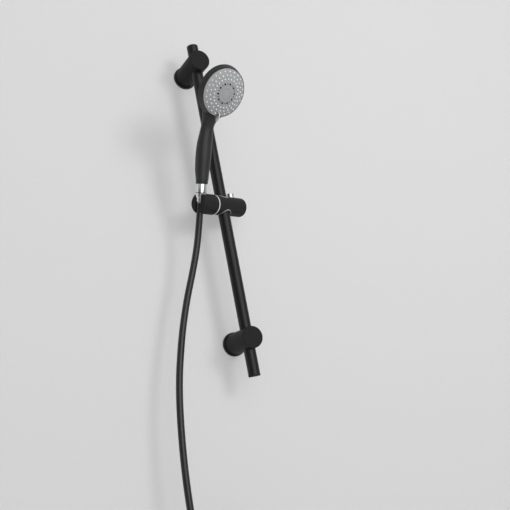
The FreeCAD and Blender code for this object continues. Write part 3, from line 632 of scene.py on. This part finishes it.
print("patches of", PATCH_MM, "mm, grain", round(GRAIN_DEPTH / MM, 2), "mm deep")

# %% [markdown]
# ## Black finishes
# Nearly all of the rail is black, and mostly the shine tells its materials apart: a coat that was sprayed
# and baked, a coat over a casting, ABS from a matt mould, ABS from a smoother one, and an extruded hose.
# They could share one black, but then the slider, the handle and the rail would run into each other.

# %% Black finishes
# The share of mirror light on top of the colour. The usual value is 0.5.
DULL_SHINE = {"Specular IOR Level": 0.15}
LOW_SHINE = {"Specular IOR Level": 0.22}
SATIN_SHINE = {"Specular IOR Level": 0.28}
FULL_SHINE = {"Specular IOR Level": 0.65}
# Powder coat on steel: a deep satin black, with long soft lines of light along the tube.
coated_steel = make_material("powder_coated_steel", "#181818", "#1e1e1e", rough=0.3, grain_mm=1.5,
                             bump=0.1, **SATIN_SHINE)
# A coat on cast zinc, rougher underneath: a duller black, with wide and faint lights.
cast_zinc = make_material("black_coated_zinc", "#1c1c1c", "#222222", rough=0.55, grain_mm=1.5,
                          bump=0.1, **DULL_SHINE)
# ABS from a matt mould: an even dark grey, whose form shows by its shading and hardly by its shine.
black_abs = make_material("moulded_black_abs", "#232323", "#292929", rough=0.6, grain_mm=1.2,
                          bump=0.1, **DULL_SHINE)
# ABS from a smoother mould: a broad soft band of light down the handle and round the head.
handle_abs = make_material("satin_black_abs", "#1c1c1c", "#222222", rough=0.47, grain_mm=1.2,
                           bump=0.08, **FULL_SHINE)
# Extruded PVC: smooth, with narrow lights that run along the hose and follow its bends.
hose_pvc = make_material("smooth_black_pvc", "#1b1b1c", "#202021", rough=0.3, grain_mm=2.0, bump=0.05)
# Moulded rubber: nearly black and without shine, so that washers show as dark lines. On the ring in the
# nut's groove it is painted shade.
rubber = make_material("black_rubber", "#131313", "#1a1a1a", rough=0.75, grain_mm=1.0, bump=0.2,
                       **LOW_SHINE)
blacks = (coated_steel, cast_zinc, black_abs, handle_abs, hose_pvc, rubber)
print("black finishes", [material.name for material in blacks])

# %% [markdown]
# ## Grey and pale finishes
# The spray face, its fin and the bearing rings are the pale things on the object. Their greys lie close
# together, so the roughness of each was matched as well. They could be one grey with a pattern, but each
# piece is a moulding of its own.

# %% Grey and pale finishes
# The seam bead is real, but its grey is painted highlight: the light that the parting line's edge catches
# between the black shells.
seam_highlight_paint = make_material("seam_painted_highlight", "#424243", "#4c4c4d", rough=0.45, grain_mm=1.2, bump=0.1,
                         **LOW_SHINE)
# Acetal in its own colour: an off-white with a soft, waxy light.
pale_acetal = make_material("pale_acetal", "#dededa", "#e8e8e4", rough=0.38, grain_mm=2.0, bump=0.05)
# Acetal with grey in it: calm grey rims where the slider's bushes meet the rail.
grey_acetal = make_material("grey_acetal", "#8e8e8b", "#989895", rough=0.45, grain_mm=2.0, bump=0.05)
# Painted ABS: an even mid grey, with a wide light that follows the face's dome.
grey_abs = make_material("grey_painted_abs", "#9c9d9f", "#a5a6a8", rough=0.42, grain_mm=1.0, bump=0.1)
# Painted highlight: a pale bead whose colour stands in for the bright line of light along the fin's
# ridge.
fin_highlight_paint = make_material("fin_ridge_painted_highlight", "#e2e3e4", "#eaebec", rough=0.3, grain_mm=1.0, bump=0.05)
# Silver paint, metal flakes in lacquer: bright where it meets the light, and dark where it turns away.
silver_abs = make_material("silver_painted_abs", "#b6b7b9", "#c2c3c5", rough=0.3, grain_mm=1.0,
                           bump=0.05, Metallic=1.0)
# Silicone rubber: near white and a little glossy, so that each nozzle is a small bright spot.
pale_rubber = make_material("pale_silicone_rubber", "#f4f4f3", "#fafaf9", rough=0.25, grain_mm=2.0,
                            bump=0.05)
# Dark grey nubs, darker than the centre disc round them.
dark_rubber = make_material("dark_grey_rubber", "#5c5c5e", "#68686a", rough=0.5, grain_mm=1.0, bump=0.1)
greys = (seam_highlight_paint, pale_acetal, grey_acetal, grey_abs, fin_highlight_paint, silver_abs, pale_rubber, dark_rubber)
print("grey and pale finishes", [material.name for material in greys])

# %% [markdown]
# ## Metals
# The screws, the spring, the nuts and the lock button are bare or plated metal. A metal's colour is the
# colour of its reflections, so Metallic is 1 and the index of refraction is left alone. Roughness does
# the rest: low for polished chrome, higher for satin chrome and zinc plating.

# %% Metals
# Zinc plating on steel: a plain grey metal with blurred reflections.
steel = make_material("zinc_plated_steel", "#8d8f92", "#a2a4a7", rough=0.32, grain_mm=1.0, bump=0.1,
                      Metallic=1.0)
# Polished chrome: a mirror of the room in bright and dark stripes. It has no grain, only a slow wave.
chrome = make_material("polished_chrome", "#dcdee0", "#e6e8ea", rough=0.1, grain_mm=8.0, bump=0.02,
                       Metallic=1.0)
# Satin chrome: the same metal with blurred reflections, which make the button evenly bright.
satin_chrome = make_material("satin_chrome", "#d4d6d8", "#dee0e2", rough=0.32, grain_mm=2.0, bump=0.03,
                             Metallic=1.0)
print("metals", [material.name for material in (steel, chrome, satin_chrome)])

# %% [markdown]
# ## Finishes on the pieces
# The record says which kind of finish each solid has, so most of them get theirs from one table. A few
# solids differ from the rest of their kind, such as the handle from the slider, and the pieces made
# above are listed one by one.

# %% Finishes on the pieces
finish_of_slot = {
    "black_coated_metal": coated_steel, "black_plastic": black_abs, "pale_bearing_plastic": pale_acetal,
    "steel": steel, "chrome": chrome, "rubber": rubber, "grey_face_plastic": grey_abs,
    "silver_plastic": silver_abs, "pale_nozzle_rubber": pale_rubber, "hose_plastic": hose_pvc,
}
finish_of_node = {
    "lock_button": satin_chrome, "upper_guide_bush": grey_acetal, "lower_guide_bush": grey_acetal,
    "handset_front_shell": handle_abs, "handset_back_shell": handle_abs,
    "upper_bracket": cast_zinc, "lower_bracket": cast_zinc,
}
made_pieces = [
    (hose, hose_pvc), (jet_inserts, rubber), (centre_nubs, dark_rubber), (nozzle_lips, pale_rubber),
    (seam_bead, seam_highlight_paint), (foot_ring, handle_abs), (fin, silver_abs), (fin_crest_highlight, fin_highlight_paint),
    (cone_nut, chrome), (groove_shade_ring, rubber), (jet_ring, grey_abs),
]
for piece, finish in made_pieces:
    piece.data.materials.clear()
    piece.data.materials.append(finish)
for part in frame["record"]["subparts"]:
    finish = finish_of_node.get(part["node"], finish_of_slot[part["material_slot"]])
    nodes[part["node"]].material_slots[0].material = finish

# %% [markdown]
# ## Wall and floor
# A rail is fixed to a wall, so a plain pale wall stands behind it, with a pale floor below. Each is one
# flat face. A thick box would hide the rail from behind, so a face is clear when seen from its back.
# Part of the wall's paleness is a glow, which keeps the shadows on it pale, as in a bright room.

# %% Stage
WALL_GAP = 0.5 * MM
FLOOR_HEIGHT = -0.78
STAGE_HALF = 4.0
WALL_PAINT = "#dadada"
WALL_GLOW_SHARE = 0.4
FLOOR_PAINT = "#c8c8c8"
FLOOR_GLOW_SHARE = 0.0
GLOW_COLOUR = "#d8d8d8"


def stage_sheet(name, corners, paint_colour, glow_share):
    """A flat face that is clear from its back, and glows a little to the camera and in reflections."""
    mesh = bpy.data.meshes.new(name)
    mesh.from_pydata(corners, [], [range(len(corners))])
    sheet = bpy.data.objects.new(name, mesh)
    scene.collection.objects.link(sheet)
    material = bpy.data.materials.new(name + "_paint")
    material.use_nodes = True
    tree = material.node_tree
    tree.nodes.clear()
    behind = add_node(tree, "ShaderNodeNewGeometry").outputs["Backfacing"]
    paint = add_node(tree, "ShaderNodeBsdfDiffuse", {"Color": linear(paint_colour)})
    glow = add_node(tree, "ShaderNodeEmission", {"Color": linear(GLOW_COLOUR), "Strength": 1.0})
    ray = add_node(tree, "ShaderNodeLightPath").outputs
    mirrored = add_node(tree, "ShaderNodeMath", {
        0: ray["Is Glossy Ray"], 1: ray["Is Transmission Ray"]}, operation="MAXIMUM")
    seen = add_node(tree, "ShaderNodeMath", {
        0: ray["Is Camera Ray"], 1: mirrored.outputs[0]}, operation="MAXIMUM")
    share = add_node(tree, "ShaderNodeMath", {0: seen.outputs[0], 1: glow_share}, operation="MULTIPLY")
    front = add_node(tree, "ShaderNodeMixShader", {
        0: share.outputs[0], 1: paint.outputs[0], 2: glow.outputs[0]})
    clear = add_node(tree, "ShaderNodeBsdfTransparent")
    mix = add_node(tree, "ShaderNodeMixShader", {0: behind, 1: front.outputs[0], 2: clear.outputs[0]})
    add_node(tree, "ShaderNodeOutputMaterial", {"Surface": mix.outputs[0]})
    mesh.materials.append(material)
    return sheet


wall_corners = [(-STAGE_HALF, WALL_GAP, FLOOR_HEIGHT), (STAGE_HALF, WALL_GAP, FLOOR_HEIGHT),
                (STAGE_HALF, WALL_GAP, STAGE_HALF), (-STAGE_HALF, WALL_GAP, STAGE_HALF)]
floor_corners = [(-STAGE_HALF, -STAGE_HALF, FLOOR_HEIGHT), (STAGE_HALF, -STAGE_HALF, FLOOR_HEIGHT),
                 (STAGE_HALF, STAGE_HALF, FLOOR_HEIGHT), (-STAGE_HALF, STAGE_HALF, FLOOR_HEIGHT)]
wall = stage_sheet("wall", wall_corners, WALL_PAINT, WALL_GLOW_SHARE)
floor = stage_sheet("floor", floor_corners, FLOOR_PAINT, FLOOR_GLOW_SHARE)
print("stage", [sheet.name for sheet in (wall, floor)])

# %% [markdown]
# ## Lamps
# The photo's shadows lie to the left of the rail and a little below it, with soft edges, so the key lamp
# is an area lamp to the right and slightly up. A point lamp could stand there too, but an area lamp's
# size says how soft the edges are. A wide, weak lamp from below lightens the undersides.

# %% Lamps
LIGHT_TARGET = Vector((0.0, -0.07, 0.3))
LAMP_DISTANCE = 2.4
KEY_DIRECTION = Vector((0.36, -0.92, 0.16)).normalized()
KEY_SIZE = 0.6
KEY_POWER = 15.0
FILL_DIRECTION = Vector((0.0, -0.8, -0.6))
FILL_SIZE = 2.0
FILL_POWER = 4.0


def area_lamp(name, direction, size, power):
    """A square soft lamp that faces the rail's middle and shows in no reflection."""
    data = bpy.data.lights.new(name, "AREA")
    data.size = size
    data.energy = power
    lamp = bpy.data.objects.new(name, data)
    scene.collection.objects.link(lamp)
    lamp.location = LIGHT_TARGET + direction * LAMP_DISTANCE
    lamp.rotation_euler = (-direction).to_track_quat("-Z", "Y").to_euler()
    lamp.visible_glossy = False
    return lamp


key_lamp = area_lamp("key_lamp", KEY_DIRECTION, KEY_SIZE, KEY_POWER)
fill_lamp = area_lamp("fill_lamp", FILL_DIRECTION, FILL_SIZE, FILL_POWER)
print("lamps", [lamp.name for lamp in (key_lamp, fill_lamp)])

# %% [markdown]
# ## The room
# Black pieces show little but what they mirror, so the room round them matters as much as the lamps. An
# image of a room could light it, but this needs no file: an even grey with two soft windows in front,
# one low and one higher, which draw the light bands, and a dark doorway on the left, which gives the
# chrome its dark stripes.

# %% Room
LOW_GREY = "#8c8c8c"
HIGH_GREY = "#a4a4a4"
# Between these heights of a direction, the low grey turns into the high one.
GREY_CHANGE = (-0.15, 0.1)
# A window or doorway is its direction, the cosines at which it starts and is full, and its brightness.
WINDOWS = [
    (Vector((0.05, -0.955, -0.28)), 0.885, 0.975, 2.5),
    (Vector((0.09, -0.97, 0.2)), 0.8, 0.98, 2.3),
    (Vector((-0.88, -0.47, -0.04)), 0.94, 0.985, 0.1),
]

world = bpy.data.worlds.new("room")
world.use_nodes = True
room = world.node_tree
room.nodes.clear()
way = add_node(room, "ShaderNodeTexCoord").outputs["Generated"]
upward = add_node(room, "ShaderNodeSeparateXYZ", {"Vector": way}).outputs["Z"]
ceiling = add_node(room, "ShaderNodeMapRange", {
    "Value": upward, "From Min": GREY_CHANGE[0], "From Max": GREY_CHANGE[1],
}, interpolation_type="SMOOTHSTEP")
light = add_node(room, "ShaderNodeMix", {
    "Factor": ceiling.outputs["Result"], MIX_FROM: linear(LOW_GREY), MIX_TO: linear(HIGH_GREY),
}, data_type="RGBA")
for direction, start, full, bright in WINDOWS:
    towards = add_node(room, "ShaderNodeVectorMath", {
        0: way, 1: direction.normalized()}, operation="DOT_PRODUCT")
    window = add_node(room, "ShaderNodeMapRange", {
        "Value": towards.outputs["Value"], "From Min": start, "From Max": full,
    }, interpolation_type="SMOOTHSTEP")
    light = add_node(room, "ShaderNodeMix", {
        "Factor": window.outputs["Result"], MIX_FROM: light.outputs[MIX_RESULT],
        MIX_TO: (bright, bright, bright, 1.0),
    }, data_type="RGBA")
background = add_node(room, "ShaderNodeBackground", {"Color": light.outputs[MIX_RESULT], "Strength": 1.0})
add_node(room, "ShaderNodeOutputWorld", {"Surface": background.outputs[0]})
scene.world = world
scene.view_settings.view_transform = "Standard"
print("windows and doorways", len(WINDOWS))

# %% [markdown]
# ## Last update
# The view layer is updated once more.

# %% Finish
bpy.context.view_layer.update()
